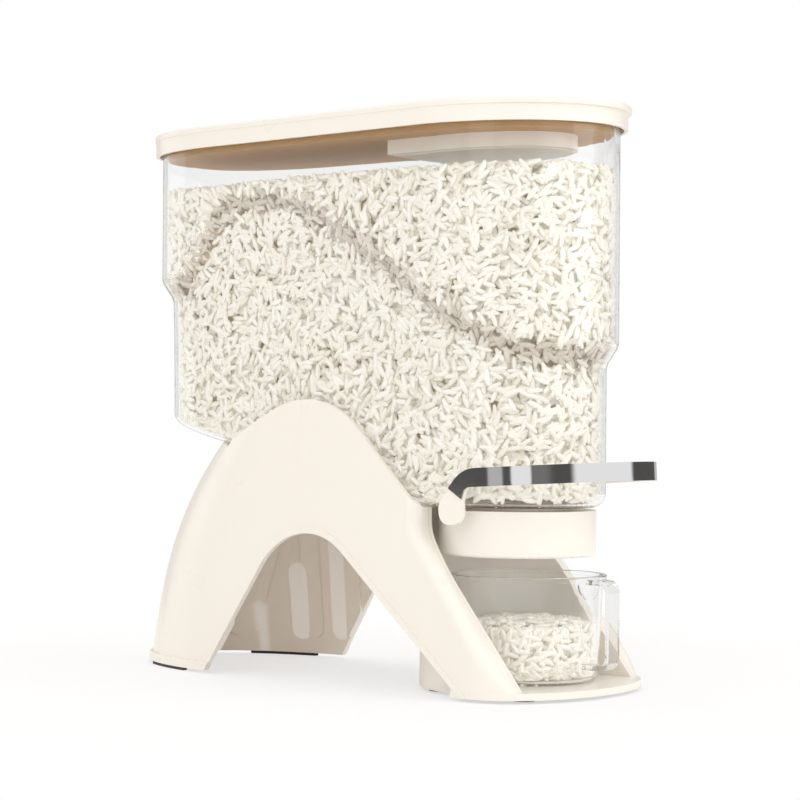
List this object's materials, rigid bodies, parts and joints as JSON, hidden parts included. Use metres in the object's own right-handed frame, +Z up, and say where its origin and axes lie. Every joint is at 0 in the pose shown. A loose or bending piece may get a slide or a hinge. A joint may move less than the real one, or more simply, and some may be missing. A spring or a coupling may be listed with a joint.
{
  "type": "rice dispenser",
  "caption": "Countertop rice dispenser: clear hopper on an arched stand, press lever with a sector gate, lift-off lid with a drying box, slide-out measuring cup.",
  "frame": {"origin": "middle of the footprint, on the surface that the feet rest on", "axes": "+Z up, -Y towards the user, where the cup and the lever are, +X to the user's right"},
  "size_m": [0.1658, 0.417, 0.3827],
  "materials": {
    "ivory_plastic": "smooth moulded ivory plastic, soft gloss",
    "clear_plastic": "clear moulded plastic, polished",
    "bright_trim": "mirror-bright plated band",
    "steel": "plain steel wire and pins",
    "soft_seal": "soft matt sealing ring",
    "foot_rubber": "matt dark rubber",
    "sachet_paper": "woven paper-like sachet"
  },
  "bodies": {
    "stand": {"stand_shell": "ivory_plastic", "bay_wall": "ivory_plastic", "foot_rear_right": "foot_rubber", "foot_rear_left": "foot_rubber", "foot_front_right": "foot_rubber", "foot_front_left": "foot_rubber", "foot_middle_right": "foot_rubber", "foot_middle_left": "foot_rubber"},
    "hopper": {"hopper": "clear_plastic", "neck_seal": "soft_seal", "outlet_collar": "ivory_plastic", "outlet_throat": "ivory_plastic", "return_spring_right": "steel", "return_spring_left": "steel"},
    "lever": {"lever_yoke": "ivory_plastic", "lever_trim": "bright_trim", "pivot_pin_right": "steel", "pivot_pin_left": "steel", "valve_gate": "ivory_plastic"},
    "lid": {"lid": "ivory_plastic", "lid_plug": "ivory_plastic", "lid_seal": "soft_seal"},
    "drying_box": {"drying_box": "ivory_plastic", "drying_box_cover": "ivory_plastic", "drying_sachet": "sachet_paper"},
    "cup": {"measuring_cup": "clear_plastic"}
  },
  "joints": [
    {"name": "hopper_lift", "type": "slide", "parent": "stand", "child": "hopper", "axis": [0, 0, 1], "range_m": [0, 0.12]},
    {"name": "lid_lift", "type": "slide", "parent": "hopper", "child": "lid", "axis": [0, 0, 1], "range_m": [0, 0.06]},
    {"name": "drying_box_pull", "type": "slide", "parent": "lid", "child": "drying_box", "axis": [0, 0, -1], "range_m": [0, 0.02]},
    {"name": "lever_press", "type": "hinge", "parent": "hopper", "child": "lever", "pos_m": [0, -0.0995, 0.1145], "axis": [1, 0, 0], "range_deg": [0, 24], "stiffness_Nm_per_rad": 0.4, "springref_deg": -34.38},
    {"name": "cup_slide", "type": "slide", "parent": "stand", "child": "cup", "axis": [0, -1, 0], "range_m": [0, 0.2]}
  ]
}
